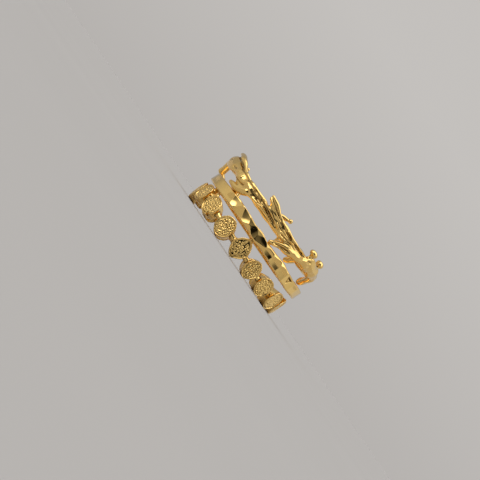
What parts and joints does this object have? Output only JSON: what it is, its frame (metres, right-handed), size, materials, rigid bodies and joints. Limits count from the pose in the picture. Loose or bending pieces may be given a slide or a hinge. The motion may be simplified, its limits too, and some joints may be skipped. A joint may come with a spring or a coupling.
{
  "type": "stackable ring",
  "caption": "Polished gold ring of slim bands soldered in a stack: round nugget discs, a plain hammered band and an open coral twig band.",
  "frame": {"origin": "centre of the finger bore, on the floor that the ring's lowest discs rest on", "axes": "+Z along the finger bore from the disc row up to the coral band, -Y towards the front that the picture shows, +X to its right"},
  "size_m": [0.0206, 0.0199, 0.0103],
  "materials": {
    "gold": "polished yellow gold"
  },
  "bodies": {
    "root": {"triple_band_ring": "gold"}
  },
  "joints": []
}
